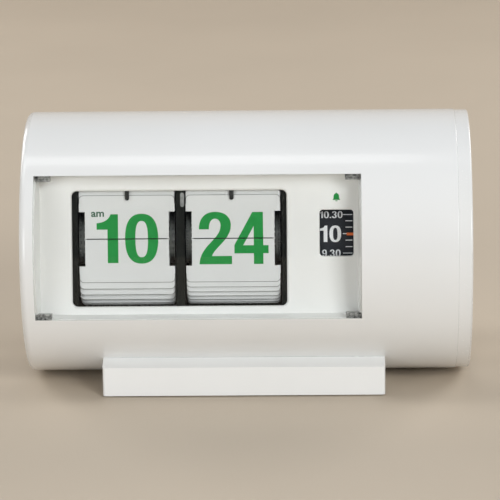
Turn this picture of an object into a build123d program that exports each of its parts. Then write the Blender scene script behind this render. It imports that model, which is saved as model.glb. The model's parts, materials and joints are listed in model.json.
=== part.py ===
from build123d import *
import math
import os

# Flip alarm clock: a round case lying on a low stand, with two drums of falling leaves
# and an alarm drum behind one wide curved window.
# Millimetres. X runs along the case to the viewer's right, the face looks to -Y, Z is up.
# The origin is on the table under the middle of the case.
# The case and all that is in it is drawn level about the case axis, then tilted and lifted.

os.makedirs("parts", exist_ok=True)

# case
case_length = 170.0
case_radius = 50.2
case_wall = 2.6
end_wall = 3.0
end_round = 2.5
rim_round = 0.4
face_tilt = 10.0
table_gap = 1.7
fit = 0.1
loose = 0.2
bearing = 0.05
axis_height = case_radius + table_gap
case_bore = case_radius - case_wall
lining = case_bore - fit
left_end = -case_length / 2
right_end = case_length / 2

# setting knobs, the well in the right end cap that holds them, and the cap
alarm_knob_radius = 22.0
time_knob_radius = 12.0
knob_thick = 2.1
knob_gap = 0.3
knurl = 0.5
finger_room = 16.0
well_radius = alarm_knob_radius + finger_room
well_deep = 4.8
well_floor = right_end - well_deep
web = 1.8
web_back = well_floor - web
alarm_knob = (well_floor + knob_gap, well_floor + knob_gap + knob_thick)
time_knob = (alarm_knob[1] + knob_gap, right_end - loose)
cap_lip = 5.2
cap_step = 0.3
cap_round = 0.8
cap_radius = case_radius - cap_step
cap_seam = right_end - cap_lip
spigot_length = 6.0
spigot_wall = 2.0

# alarm switch and buzzer, on the back of the well
switch_travel = 4.0
switch_slot = (3.2, 8.4)
switch_reach = alarm_knob_radius + 9.1
switch_y = switch_reach * math.sqrt(0.5)
switch_z = switch_reach * math.sqrt(0.5)
buzzer_radius = 10.0
buzzer_thick = 7.0
buzzer_reach = alarm_knob_radius + 6.3
buzzer_y = buzzer_reach * math.sqrt(0.5)
buzzer_z = -buzzer_reach * math.sqrt(0.5)

# stand
stand_length = 107.6
stand_shift = -1.55
stand_half_depth = 39.5
stand_front = 11.6
shoulder_run = 6.9
stand_wall = 2.5
stand_x0 = stand_shift - stand_length / 2
stand_x1 = stand_shift + stand_length / 2
stand_shoulder = stand_half_depth - shoulder_run
foot_proud = 0.5
foot_radius = 4.0
foot_sink = 1.0
foot_inset = (9.8, 7.0)
foot_x = stand_length / 2 - foot_inset[0]
foot_y = stand_half_depth - foot_inset[1]
stand_screw_x = foot_x - 8.0
stand_screw_radius = 1.5
stand_screw_head = 2.9
boss_radius = 4.0
boss_height = 8.0

# height of the split between the leaves, and how far a leaf reaches from it
split_z = 2.5
leaf_long = 16.3

# face openings, and the window in front of them
flip_z0 = split_z - leaf_long - 9.1
flip_z1 = split_z + leaf_long + 1.9
flip_round = 2.0
flip_lip = 1.0
window_x0 = left_end + 5.3
window_x1 = right_end - 41.6
window_half = flip_z1 + 6.55
lens_thick = 2.3
alarm_x1 = window_x1 - 2.9
alarm_x0 = alarm_x1 - 12.8
alarm_z0 = -4.3
alarm_z1 = 13.1
alarm_round = 1.2
alarm_lip = 0.6
flip_x0 = window_x0 + 13.4
flip_x1 = alarm_x0 - 12.5

# gears: teeth and modules of the three meshes
minute_teeth = 32
time_teeth = 48
motor_teeth = 8
time_module = 0.5
carry_teeth = 10
motion_teeth = 40
carry_module = 0.45
step_teeth = 8
hour_teeth = 48
time_distance = (minute_teeth + time_teeth) * time_module / 2
motor_distance = (motor_teeth + time_teeth) * time_module / 2
carry_distance = (carry_teeth + motion_teeth) * carry_module / 2
step_module = 2 * carry_distance / (step_teeth + hour_teeth)
pressure_angle = math.radians(20)
wheel_addendum = 0.6
pinion_addendum = 0.8
dedendum = 1.15
tooth_share = 0.41

# axes, as Y and Z from the case axis
drum_y = -math.sqrt(time_distance ** 2 - split_z ** 2)
drum_z = split_z
carry_turn = -75.0
motion_y = drum_y + carry_distance * math.cos(math.radians(carry_turn))
motion_z = drum_z + carry_distance * math.sin(math.radians(carry_turn))
motor_turn = -30.0
motor_y = motor_distance * math.cos(math.radians(motor_turn))
motor_z = motor_distance * math.sin(math.radians(motor_turn))

# drums and leaves
disc_radius = 9.95
disc_thick = 2.0
disc_notch = 0.35
groove_inner = disc_radius - 1.4
groove_outer = disc_radius - 0.12
groove_deep = 1.2
hub_radius = 4.0
leaf_thick = 0.15
leaf_round = 1.7
leaf_gap = 0.25
leaf_notch = disc_radius + 0.1
ear_long = 0.7
ear_half = 0.15
leaf_root = 0.05
flap_radius = disc_radius - 0.3
shown_radius = flap_radius - 0.25
pack_gap = 0.24
partner_gap = 0.25
partner_turn = 2.0
shown_turn = 1.5
hour_leaves = 24
minute_pairs = 30
stand_up_to = 75.0
hang_back = 1.0

# face tray
face_clear = 0.51
tray_thick = 1.5
tray_wall = 1.4
tray_back = drum_y - disc_radius - face_clear
tray_floor = tray_back - tray_thick
floor_x0 = window_x0 + 1.3
floor_x1 = window_x1 - 1.3
floor_z0 = -window_half + 1.45
floor_z1 = window_half - 0.65
mouth = -lining - 0.5
mouth_x0 = window_x0 + 0.2
mouth_x1 = window_x1 - 0.2
mouth_z0 = -window_half - 0.65
mouth_z1 = window_half - 0.05
back_half = math.sqrt(lining ** 2 - tray_floor ** 2) - 2.1
clip_width = 5.8
clip_deep = 4.2
clip_tall = 2.25
clip_inset = 0.25

# screws of the movement
screw_radius = 1.0
screw_head = 1.9
screw_head_thick = 1.2
screw_long = 6.0

# frame plates along X
plate_thick = 3.0
mid_thick = 3.2
disc_gap = 0.5
left_x0 = flip_x0 - 0.9
left_x1 = left_x0 + plate_thick
right_x0 = flip_x1 - 1.9
right_x1 = right_x0 + plate_thick
mid_x0 = (left_x1 + right_x0) / 2 + 0.25 - mid_thick / 2
mid_x1 = mid_x0 + mid_thick
plate_half = back_half - 2.0
plate_rear = 12.0
right_rear = 28.0
flange = 6.0
flange_thick = 1.5
flange_z = plate_half - 1.7
pillar_radius = 2.0
pillar_y = plate_rear - 3.0
pillar_z = plate_half - 4.0
post_radius = 2.2
posts = [(-14.0, 18.0), (-22.0, -20.0), (4.0, -17.5)]
bridge_pad = 3.6

# drums and leaves along X
hour_x0 = left_x1 + disc_gap
hour_x1 = mid_x0 - disc_gap
minute_x0 = mid_x1 + disc_gap
minute_x1 = right_x0 - disc_gap

# gear layers along X
gear_thick = 1.6
gear_gap = 0.4
layer_a = (right_x1 + 0.5, right_x1 + 0.5 + gear_thick)
layer_b = (layer_a[1] + gear_gap, layer_a[1] + gear_gap + gear_thick)
layer_c = (layer_b[1] + gear_gap, layer_b[1] + gear_gap + gear_thick)
bridge_thick = 1.3
bridge = (layer_c[1] + 0.9, layer_c[1] + 0.9 + bridge_thick)

# shafts
hour_shaft_radius = 1.0
sleeve_radius = 2.5
collar_radius = 1.7
arbor_radius = 0.75
motor_shaft_radius = 0.6
time_shaft_radius = 1.5
alarm_sleeve_radius = 3.0
alarm_sleeve_bore = time_shaft_radius + fit

# leaf catches
catch_width = 1.6
catch_thick = 0.5
catch_long = 3.6
catch_tip = flip_z1 - catch_long
catch_top = floor_z1 - 1.6
guide_width = 1.5
guide_thick = 0.4
guide_z0 = flip_z1 - 6.1
guide_z1 = flip_z1 - 0.8
hour_catch_x = (hour_x0 + hour_x1) / 2 + 0.2
minute_catch_x = (minute_x0 + minute_x1) / 2 - 0.5

# alarm drum and its bracket
alarm_rim = 1.2
alarm_radius = -tray_back - 2.1
alarm_drum_x0 = bridge[1] + screw_head_thick + 0.6
alarm_drum_x1 = alarm_x1 + 1.5
alarm_hub = 6.0
bracket_half = 14.0
bracket_x0 = alarm_drum_x1 + 3.0
bracket_x1 = bracket_x0 + 2.0
contact_y0 = -alarm_radius + 6.3
contact_y1 = contact_y0 + 8.0
contact_half = 4.0
back_x1 = bracket_x1 + flange + 1.0
pointer_z = (alarm_z0 + alarm_z1) / 2 - 0.55

# motor and board
motor_thick = 8.0
motor_x0 = right_x0 - motor_thick
motor_y0 = drum_y + disc_radius + leaf_long + 0.7
motor_y1 = motor_y0 + 19.0
motor_half = 13.0
board_thick = 1.6
board_half = 16.0

# one standard cell, its box and the door behind it
cell_radius = 13.1
cell_long = 48.5
nub_long = 1.5
nub_radius = 3.0
spring_room = 3.0
contact_thick = 1.0
box_wall = 1.5
box_x0 = left_end + end_wall + 1.0
cell_x0 = box_x0 + box_wall + spring_room
cell_x1 = cell_x0 + cell_long
box_x1 = cell_x1 + nub_long + contact_thick + box_wall
cell_y = plate_rear + box_wall + 0.9 + cell_radius
box_half = cell_radius + 3.4
door_x0 = box_x0 + 2.0
door_x1 = box_x1 - 2.0
door_half = box_half - 2.0


def block(x0, x1, y0, y1, z0, z1):
    return Pos((x0 + x1) / 2, (y0 + y1) / 2, (z0 + z1) / 2) * Box(x1 - x0, y1 - y0, z1 - z0)


def rod(x0, x1, y, z, radius):
    return Pos((x0 + x1) / 2, y, z) * Rot(0, 90, 0) * Cylinder(radius, abs(x1 - x0))


def pipe(x0, x1, y, z, outer, inner):
    return rod(x0, x1, y, z, outer) - rod(x0, x1, y, z, inner)


def plank(x0, x1, points):
    return Pos(x0, 0, 0) * extrude(Plane.YZ * Polygon(*points, align=None), x1 - x0, dir=(1, 0, 0))


def facing(y, sketch):
    return Plane((0, y, 0), x_dir=(1, 0, 0), z_dir=(0, -1, 0)) * sketch


def rounded_slab(x0, x1, z0, z1, y0, y1, radius):
    shape = Pos((x0 + x1) / 2, (z0 + z1) / 2) * RectangleRounded(x1 - x0, z1 - z0, radius)
    return extrude(facing(y1, shape), y1 - y0, dir=(0, -1, 0))


def ring_points(teeth, radii_and_angles, phase):
    points = []
    for k in range(teeth):
        for radius, angle in radii_and_angles:
            turn = math.radians(phase) + k * math.tau / teeth + angle
            points.append((radius * math.cos(turn), radius * math.sin(turn)))
    return points


def knurled(x0, x1, radius, teeth, depth):
    step = math.tau / teeth
    shape = [(radius - depth, -0.40 * step), (radius, -0.22 * step)]
    shape += [(radius, 0.22 * step), (radius - depth, 0.40 * step)]
    return plank(x0, x1, ring_points(teeth, shape, 0))


def involute(radius, base):
    if radius <= base:
        return 0.0
    return math.sqrt((radius / base) ** 2 - 1) - math.acos(base / radius)


def gear(layer, y, z, teeth, module, addendum, phase, bore):
    pitch = teeth * module / 2
    base = pitch * math.cos(pressure_angle)
    root = pitch - dedendum * module
    tip = pitch + addendum * module
    start = max(root, base)
    radii = [root] + [start + (tip - start) * k / 3 for k in range(4)]
    half = tooth_share * math.pi / teeth + involute(pitch, base)
    rising = [(r, -half + involute(r, base)) for r in radii if r > root or r == radii[0]]
    falling = [(r, -a) for r, a in reversed(rising)]
    wheel = plank(layer[0], layer[1], ring_points(teeth, rising + falling, phase))
    return Pos(0, y, z) * (wheel - rod(layer[0], layer[1], 0, 0, bore))


def mesh_phase(teeth_a, phase_a, teeth_b, toward):
    share = (toward - phase_a) * teeth_a / 360
    return toward + 180 - (0.5 - share) * 360 / teeth_b


def screw_x(x, y, z, toward):
    head = rod(x, x - toward * screw_head_thick, y, z, screw_head)
    return head + rod(x, x + toward * screw_long, y, z, screw_radius)


def screw_y(x, z):
    under = tray_back + flange_thick
    head = Cylinder(screw_head, screw_head_thick)
    shank = Cylinder(screw_radius, screw_long - 2)
    across = Rot(90, 0, 0)
    screw = Pos(x, under + screw_head_thick / 2, z) * across * head
    return screw + Pos(x, under - (screw_long - 2) / 2, z) * across * shank


def case_cut(x0, x1, half, front):
    side = (-case_radius - 5, 0) if front else (0, case_radius + 5)
    return block(x0, x1, side[0], side[1], -half, half)


def tube_case():
    body = rod(left_end, cap_seam, 0, 0, case_radius)
    body = fillet(body.faces().sort_by(Axis.X)[0].edges(), end_round)
    body = fillet(body.faces().sort_by(Axis.X)[-1].edges(), rim_round)
    body -= rod(left_end + end_wall, cap_seam, 0, 0, case_bore)
    body -= case_cut(window_x0, window_x1, window_half, True)
    body -= case_cut(door_x0, door_x1, door_half, False)
    return body


def case_bosses():
    bosses = []
    for x in (-stand_screw_x, stand_screw_x):
        low = axis_height - case_bore - 0.5
        post = Pos(x, 0, low + boss_height / 2) * Cylinder(boss_radius, boss_height)
        bosses.append(post)
    return bosses


def stand_screw(x):
    top = axis_height - case_bore - 0.5 + boss_height - 1.5
    cone_top = foot_proud + stand_screw_head - stand_screw_radius
    cone = Pos(x, 0, (foot_proud + cone_top) / 2)
    cone *= Cone(stand_screw_head, stand_screw_radius, cone_top - foot_proud)
    shank = Pos(x, 0, (cone_top + top) / 2) * Cylinder(stand_screw_radius, top - cone_top)
    return cone + shank


def end_cap():
    cap = rod(cap_seam, right_end, 0, 0, cap_radius)
    cap = fillet(cap.faces().sort_by(Axis.X)[-1].edges(), cap_round)
    cap += pipe(cap_seam - spigot_length, cap_seam, 0, 0, lining, lining - spigot_wall)
    cap -= rod(web_back, right_end, 0, 0, well_radius)
    cap += rod(web_back, well_floor, 0, 0, lining - spigot_wall / 2)
    cap -= rod(web_back, well_floor, 0, 0, alarm_sleeve_radius + bearing)
    wide, tall = switch_slot
    middle = switch_z
    cap -= block(web_back, well_floor, switch_y - wide / 2, switch_y + wide / 2,
                 middle - tall / 2, middle + tall / 2)
    for k in range(7):
        reach = 0 if k == 6 else buzzer_radius / 2
        y = buzzer_y + reach * math.cos(k * math.tau / 6)
        z = buzzer_z + reach * math.sin(k * math.tau / 6)
        cap -= rod(web_back, well_floor, y, z, 0.9)
    return cap


def stand():
    low = foot_proud
    cradle = case_radius + bearing
    shoulder = axis_height - math.sqrt(cradle ** 2 - stand_shoulder ** 2)
    side = [(-stand_half_depth, low), (-stand_half_depth, stand_front), (-stand_shoulder, shoulder)]
    side += [(-y, z) for y, z in reversed(side)]
    body = plank(stand_x0, stand_x1, side)
    upright = body.edges().filter_by(Axis.Z)
    body = fillet(upright, 1.0)
    for sign in (-1, 1):
        y0, y1 = sorted((sign * 14.0, sign * (stand_half_depth - stand_wall)))
        reach = foot_x - foot_radius - 3.4
        pocket = block(stand_shift - reach, stand_shift + reach, y0, y1, low, stand_front - stand_wall)
        body -= pocket - rod(stand_x0, stand_x1, 0, axis_height, cradle + stand_wall)
    body -= rod(stand_x0, stand_x1, 0, axis_height, cradle)
    for x, y in foot_places():
        body -= Pos(x, y, low + foot_sink / 2) * Cylinder(foot_radius, foot_sink)
    for x in (-stand_screw_x, stand_screw_x):
        body -= stand_screw(x)
    return body


def foot_places():
    middle = (stand_x0 + stand_x1) / 2
    return [(middle + a * foot_x, b * foot_y) for a in (-1, 1) for b in (-1, 1)]


def feet():
    tall = foot_proud + foot_sink
    pads = []
    for x, y in foot_places():
        pad = Pos(x, y, tall / 2) * Cylinder(foot_radius, tall)
        pads.append(fillet(pad.faces().sort_by(Axis.Z)[0].edges(), 0.3))
    return Compound(pads)


def taper(grow):
    mouth_shape = Pos((mouth_x0 + mouth_x1) / 2, (mouth_z0 + mouth_z1) / 2)
    mouth_shape *= Rectangle(mouth_x1 - mouth_x0 + 2 * grow, mouth_z1 - mouth_z0 + 2 * grow)
    floor_shape = Pos((floor_x0 + floor_x1) / 2, (floor_z0 + floor_z1) / 2)
    floor_shape *= Rectangle(floor_x1 - floor_x0 + 2 * grow, floor_z1 - floor_z0 + 2 * grow)
    return loft([facing(tray_floor, floor_shape), facing(mouth, mouth_shape)])


def clip_places():
    places = []
    for x in (window_x0 + clip_inset, window_x1 - clip_inset - clip_width):
        for sign in (-1, 1):
            places.append((x, sign))
    return places


def clip(x, sign):
    z0, z1 = sorted((sign * (window_half - clip_inset), sign * (window_half - clip_inset - clip_tall)))
    front = -math.sqrt(lining ** 2 - window_half ** 2) - 1.6
    shape = block(x, x + clip_width, front, front + clip_deep, z0, z1)
    return shape & rod(left_end, right_end, 0, 0, case_radius - lens_thick - 2 * bearing)


def lens_clips():
    return Compound([clip(x, sign) for x, sign in clip_places()])


def lip_edges(tray, x0, x1, z0, z1):
    edges = []
    for edge in tray.edges():
        box = edge.bounding_box()
        flat = box.max.Y - tray_floor < 0.001 and tray_floor - box.min.Y < 0.001
        within = box.min.X > x0 - 0.01 and box.max.X < x1 + 0.01
        if flat and within and box.min.Z > z0 - 0.01 and box.max.Z < z1 + 0.01:
            edges.append(edge)
    return edges


def face_tray():
    inside = rod(left_end, right_end, 0, 0, lining)
    tray = taper(tray_wall) & inside
    rim = inside - rod(left_end, right_end, 0, 0, lining - 1.2)
    x0 = left_end + end_wall + loose
    tray += rim & block(x0, window_x1 + 3, -case_radius, 0, -window_half - 3.2, window_half + 3.2)
    tray += block(x0, back_x1, tray_floor, tray_back, -back_half, back_half)
    for x, z in flange_screws():
        boss = Pos(x, tray_floor - 1.5, z) * Rot(90, 0, 0) * Cylinder(2.0, 3.0)
        tray += boss & inside
    tray -= taper(0)
    tray -= rounded_slab(flip_x0, flip_x1, flip_z0, flip_z1, mouth, 0, flip_round)
    tray -= rounded_slab(alarm_x0, alarm_x1, alarm_z0, alarm_z1, mouth, 0, alarm_round)
    tray = fillet(lip_edges(tray, flip_x0, flip_x1, flip_z0, flip_z1), flip_lip)
    tray = fillet(lip_edges(tray, alarm_x0, alarm_x1, alarm_z0, alarm_z1), alarm_lip)
    for x, sign in clip_places():
        tray -= clip(x, sign)
    for x, z in flange_screws():
        tray -= screw_y(x, z)
    return tray


def window_lens():
    outer = case_radius - bearing
    edge = 0.15
    lens = pipe(window_x0 + edge, window_x1 - edge, 0, 0, outer, outer - lens_thick)
    return lens & case_cut(window_x0, window_x1, window_half - edge, True)


def flange_screws():
    spots = []
    for x in (left_x0 - flange / 2, mid_x0 - flange / 2, right_x1 + flange / 2):
        spots += [(x, flange_z), (x, -flange_z)]
    spots += [(bracket_x1 + flange / 2, 10.0), (bracket_x1 + flange / 2, -10.0)]
    return spots


def plate_body(x0, x1, rear):
    outline = Pos((tray_back + rear) / 2, 0) * Rectangle(rear - tray_back, 2 * plate_half)
    back_corners = outline.vertices().sort_by(Axis.X)[-2:]
    outline = fillet(back_corners, 4.0)
    return Pos(x0, 0, 0) * extrude(Plane.YZ * outline, x1 - x0, dir=(1, 0, 0))


def plate_flange(x0, x1):
    tabs = Part()
    for sign in (-1, 1):
        z0, z1 = sorted((sign * (flange_z - 2.2), sign * plate_half))
        tabs += block(x0, x1, tray_back, tray_back + flange_thick, z0, z1)
    for x, z in flange_screws():
        tabs -= screw_y(x, z)
    return tabs


def left_plate():
    plate = plate_body(left_x0, left_x1, plate_rear) + plate_flange(left_x0 - flange, left_x0)
    plate -= rod(left_x0 + 0.6, left_x1, drum_y, drum_z, hour_shaft_radius + bearing)
    for sign in (-1, 1):
        plate -= rod(left_x0, left_x1, pillar_y, sign * pillar_z, screw_radius)
    return plate


def mid_plate():
    plate = plate_body(mid_x0, mid_x1, plate_rear)
    plate += plate_flange(mid_x0 - flange, mid_x0)
    plate -= rod(mid_x0, mid_x1, drum_y, drum_z, hour_shaft_radius + bearing)
    for sign in (-1, 1):
        plate -= rod(mid_x0, mid_x1, pillar_y, sign * pillar_z, pillar_radius)
    return plate


def right_plate():
    plate = plate_body(right_x0, right_x1, right_rear) + plate_flange(right_x1, right_x1 + flange)
    for y, z in posts:
        plate += rod(right_x1, bridge[0], y, z, post_radius)
        plate -= rod(bridge[1] - screw_long, bridge[0], y, z, screw_radius)
    plate -= rod(right_x0, right_x1, drum_y, drum_z, sleeve_radius + bearing)
    plate -= rod(right_x0, right_x1, 0, 0, time_shaft_radius + bearing)
    plate -= rod(right_x0, right_x1, motion_y, motion_z, arbor_radius + bearing)
    plate -= rod(right_x0, right_x1, motor_y, motor_z, motor_shaft_radius + bearing)
    for sign in (-1, 1):
        plate -= rod(right_x0, right_x1, pillar_y, sign * pillar_z, screw_radius)
    return plate


def pillars():
    rods = []
    for sign in (-1, 1):
        post = rod(left_x1, right_x0, pillar_y, sign * pillar_z, pillar_radius)
        post -= rod(left_x1, left_x0 + screw_long, pillar_y, sign * pillar_z, screw_radius)
        post -= rod(right_x1 - screw_long, right_x0, pillar_y, sign * pillar_z, screw_radius)
        rods.append(post)
    return Compound(rods)


def frame_screws():
    screws = [screw_y(x, z) for x, z in flange_screws()]
    for sign in (-1, 1):
        screws.append(screw_x(left_x0, pillar_y, sign * pillar_z, 1))
        screws.append(screw_x(right_x1, pillar_y, sign * pillar_z, -1))
    screws += [screw_x(bridge[1], y, z, -1) for y, z in posts]
    return Compound(screws)


def gear_bridge():
    spots = posts + [(0.0, 0.0), (drum_y, drum_z)]
    rings = [Pos(y, z) * Edge.make_circle(bridge_pad) for y, z in spots]
    plate = extrude(Plane.YZ * make_hull(rings), bridge[1] - bridge[0], dir=(1, 0, 0))
    plate = Pos(bridge[0], 0, 0) * plate
    for y, z in posts:
        plate -= rod(bridge[0], bridge[1], y, z, screw_radius)
    plate -= rod(bridge[0], bridge[1], 0, 0, time_shaft_radius + bearing)
    plate -= rod(bridge[0], bridge[1], drum_y, drum_z, hour_shaft_radius + bearing)
    plate -= rod(bridge[0], bridge[1], motion_y, motion_z, arbor_radius + bearing)
    return plate


def drum_disc(outer_face, inward, notches):
    middle = outer_face + inward * disc_thick / 2
    inner_face = outer_face + inward * disc_thick
    plain = knurled(min(outer_face, middle), max(outer_face, middle), disc_radius, notches, disc_notch)
    holder = rod(middle, inner_face, 0, 0, disc_radius)
    track = inner_face - inward * groove_deep
    return plain + holder - pipe(track, inner_face, 0, 0, groove_outer, groove_inner)


def hour_drum():
    drum = drum_disc(hour_x0, 1, hour_leaves) + drum_disc(hour_x1, -1, hour_leaves)
    drum += rod(hour_x0, hour_x1, 0, 0, hub_radius)
    drum -= rod(hour_x0, hour_x1, 0, 0, hour_shaft_radius)
    return Pos(0, drum_y, drum_z) * drum


def minute_drum():
    drum = drum_disc(minute_x0, 1, 2 * minute_pairs) + drum_disc(minute_x1, -1, 2 * minute_pairs)
    drum += rod(minute_x0, minute_x1, 0, 0, hub_radius)
    drum += rod(minute_x1, layer_a[1], 0, 0, sleeve_radius)
    drum -= rod(minute_x0, layer_a[1], 0, 0, hour_shaft_radius + bearing)
    drum -= rod(right_x1, layer_a[1], 0, 0, collar_radius)
    return Pos(0, drum_y, drum_z) * drum


def leaf(x0, x1):
    narrow0 = x0 + disc_thick + leaf_gap
    narrow1 = x1 - disc_thick - leaf_gap
    ear0 = x0 + disc_thick - ear_long
    ear1 = x1 - disc_thick + ear_long
    wide = Pos((x0 + x1) / 2, (leaf_notch + leaf_long) / 2) * Rectangle(x1 - x0, leaf_long - leaf_notch)
    wide = fillet(wide.vertices().sort_by(Axis.Y)[-2:], leaf_round)
    tall = leaf_notch + ear_half + leaf_root
    neck = Pos((narrow0 + narrow1) / 2, tall / 2 - leaf_root) * Rectangle(narrow1 - narrow0, tall)
    outline = wide + neck
    for a, b in ((ear0, narrow0 + ear_long), (narrow1 - ear_long, ear1)):
        outline += Pos((a + b) / 2, 0) * Rectangle(b - a, 2 * ear_half)
    return extrude(facing(leaf_thick / 2, outline), leaf_thick, dir=(0, -1, 0))


def hung(sheet, radius, turn, lean):
    angle = math.radians(turn)
    y = drum_y - radius * math.cos(angle)
    z = drum_z + radius * math.sin(angle)
    return Pos(0, y, z) * Rot(-lean, 0, 0) * sheet


def standing(sheet, radius, turn):
    past = max(0.0, turn - stand_up_to)
    return hung(sheet, radius, turn, 90 * past / (180 - stand_up_to))


def fallen(sheet, radius, turn):
    lean = hang_back * min(1.0, turn / stand_up_to)
    past = max(0.0, turn - stand_up_to)
    lean += (90 - hang_back) * past / (180 - stand_up_to)
    return hung(sheet, radius, -turn, 180 - lean)


def pack_radius(step):
    return (shown_radius - pack_gap) / math.cos(math.radians(shown_turn + step))


def hour_packs(sheet):
    step = 360 / hour_leaves
    radius = pack_radius(step)
    up = [standing(sheet, shown_radius, shown_turn)]
    down = [fallen(sheet, shown_radius, shown_turn)]
    for k in range(1, hour_leaves // 2 - 1):
        up.append(standing(sheet, radius, shown_turn + k * step))
    for k in range(1, hour_leaves // 2):
        down.append(fallen(sheet, radius, shown_turn + k * step))
    return Compound(up), Compound(down)


def minute_packs(sheet):
    step = 360 / minute_pairs
    outer = pack_radius(step)
    inner = outer - partner_gap
    up = [standing(sheet, shown_radius, shown_turn)]
    down = [fallen(sheet, shown_radius, shown_turn)]
    for k in range(1, minute_pairs // 2):
        first = shown_turn + k * step
        for radius, turn in ((outer, first), (inner, first + partner_turn)):
            up.append(standing(sheet, radius, turn))
            down.append(fallen(sheet, radius, turn))
    down.append(fallen(sheet, outer, 180))
    return Compound(up), Compound(down)


def leaf_catch(x):
    half = catch_width / 2
    strip = block(x - half, x + half, tray_back, tray_back + catch_thick, catch_tip, catch_top)
    tip = strip.edges().filter_by(Axis.Y).sort_by(Axis.Z)[:2]
    strip = fillet(tip, half - 0.05)
    return strip + block(x - 3, x + 3, tray_back, tray_back + catch_thick, flip_z1 + 1.3, catch_top)


def leaf_guide():
    x0 = mid_x1 - guide_width
    strip = block(x0, mid_x1, tray_back - guide_thick, tray_back, guide_z0, guide_z1)
    return fillet(strip.edges().filter_by(Axis.Y), guide_width / 2 - 0.05)


def minute_pinion(phase):
    teeth = gear(layer_b, drum_y, drum_z, carry_teeth, carry_module, pinion_addendum, phase,
                 hour_shaft_radius + bearing)
    return teeth + pipe(right_x1, layer_b[0], drum_y, drum_z, collar_radius, hour_shaft_radius + bearing)


def alarm_drum():
    drum = pipe(alarm_drum_x0, alarm_drum_x1, 0, 0, alarm_radius, alarm_radius - alarm_rim)
    drum += rod(alarm_drum_x1 - 1.2, alarm_drum_x1, 0, 0, alarm_radius)
    drum += rod(alarm_drum_x0 + 4, alarm_drum_x1, 0, 0, alarm_hub)
    return drum - rod(alarm_drum_x0, alarm_drum_x1, 0, 0, alarm_sleeve_radius)


def alarm_bracket():
    half = bracket_half
    plate = block(bracket_x0, bracket_x1, tray_back, half - 4, -half, half)
    plate += block(bracket_x1, bracket_x1 + flange, tray_back, tray_back + flange_thick, -half, half)
    plate -= rod(bracket_x0, bracket_x1, 0, 0, alarm_sleeve_radius + bearing)
    for x, z in flange_screws():
        plate -= screw_y(x, z)
    return plate


def alarm_contact():
    body = block(alarm_drum_x1 + 0.6, bracket_x0, contact_y0, contact_y1, -contact_half, contact_half)
    x = alarm_drum_x1 + 1.2
    for z in (-contact_half / 2, contact_half / 2):
        body += block(x, x + 0.3, contact_y1, contact_y1 + 6.0, z - 0.8, z + 0.8)
    return body


def alarm_pointer():
    x1 = alarm_x1 + 3
    rear = tray_back + 0.5
    shape = block(alarm_x1 - 2.6, x1, tray_back, rear, pointer_z - 0.5, pointer_z + 0.5)
    return shape + block(alarm_x1 + 0.8, x1, tray_back, rear, pointer_z - 3, pointer_z + 3)


def alarm_set_knob():
    x0, x1 = alarm_knob
    knob = knurled(x0, x1, alarm_knob_radius, 72, knurl)
    knob -= rod(x1 - 0.5, x1, 0, 0, time_knob_radius + 1.5)
    knob -= rod(x1 - 1.0, x1, 0, 17.5, 3.0)
    return knob - rod(x0, x1, 0, 0, alarm_sleeve_radius)


def time_set_knob():
    x0, x1 = time_knob
    knob = knurled(x0, x1, time_knob_radius, 40, knurl)
    knob -= rod(x1 - 1.0, x1, 0, 6.8, 3.2)
    return knob - rod(x0, x1 - 0.2, 0, 0, time_shaft_radius)


def switch_button():
    wide, tall = switch_slot
    half = wide / 2 - loose
    low = switch_z - tall / 2 + loose
    stem_tall = tall - 2 * loose - switch_travel
    stem = block(web_back - 1.6, well_floor + 0.3, switch_y - half, switch_y + half, low, low + stem_tall)
    pad_low = low - 0.6
    x1 = well_floor + 2.2
    pad = block(well_floor + 0.3, x1, switch_y - 2.4, switch_y + 2.4, pad_low, pad_low + stem_tall + 1.2)
    for k in range(3):
        z = pad_low + 1.5 + k * 1.1
        pad -= block(x1 - 0.4, x1, switch_y - 2.4, switch_y + 2.4, z, z + 0.5)
    return stem + pad


def switch_body():
    wide, tall = switch_slot
    body = block(web_back - 5.5, web_back, switch_y - 3.6, switch_y + 3.6, switch_z - 6.5, switch_z + 6.5)
    body -= block(web_back - 2.0, web_back, switch_y - wide / 2, switch_y + wide / 2,
                  switch_z - tall / 2, switch_z + tall / 2)
    for k in (-1, 0, 1):
        body += block(web_back - 8.0, web_back - 5.5, switch_y - 0.8, switch_y + 0.8,
                      switch_z + 3.6 * k - 0.2, switch_z + 3.6 * k + 0.2)
    return body


def buzzer():
    can = rod(web_back - buzzer_thick, web_back, buzzer_y, buzzer_z, buzzer_radius)
    can = fillet(can.faces().sort_by(Axis.X)[0].edges(), 0.8)
    return can - rod(web_back - 1.5, web_back, buzzer_y, buzzer_z, buzzer_radius - 3)


def quartz_motor():
    body = block(motor_x0, right_x0, motor_y0, motor_y1, -motor_half, motor_half)
    body = fillet(body.edges().filter_by(Axis.X), 1.5)
    return body - rod(right_x0 - 4, right_x0, motor_y, motor_z, motor_shaft_radius + bearing)


def circuit_board():
    rear = motor_y1 + board_thick
    x0, x1 = motor_x0 - 0.5, right_x0 - knob_gap
    board = block(x0, x1, motor_y1, rear, -board_half, board_half)
    board += block(x0 + 1, x0 + 6, rear, rear + 1.6, -9, -1)
    board += Pos(x1 - 2.5, rear + 1.5, board_half - 4) * Rot(90, 0, 0) * Cylinder(2.0, 3.0)
    return board + block(x0 + 1, x0 + 4, rear, rear + 1.1, 2, 8)


def battery_box():
    body = block(box_x0, box_x1, plate_rear, case_radius, -box_half, box_half)
    inner = box_half - box_wall
    body -= block(box_x0 + box_wall, box_x1 - box_wall, plate_rear + box_wall, case_radius, -inner, inner)
    for x in (cell_x0 + 7, cell_x1 - 9):
        body += block(x, x + 2, plate_rear, cell_y - cell_radius / 2, -inner, inner)
    body -= rod(cell_x0, cell_x1, cell_y, 0, cell_radius)
    return body & rod(left_end, right_end, 0, 0, lining)


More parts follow.
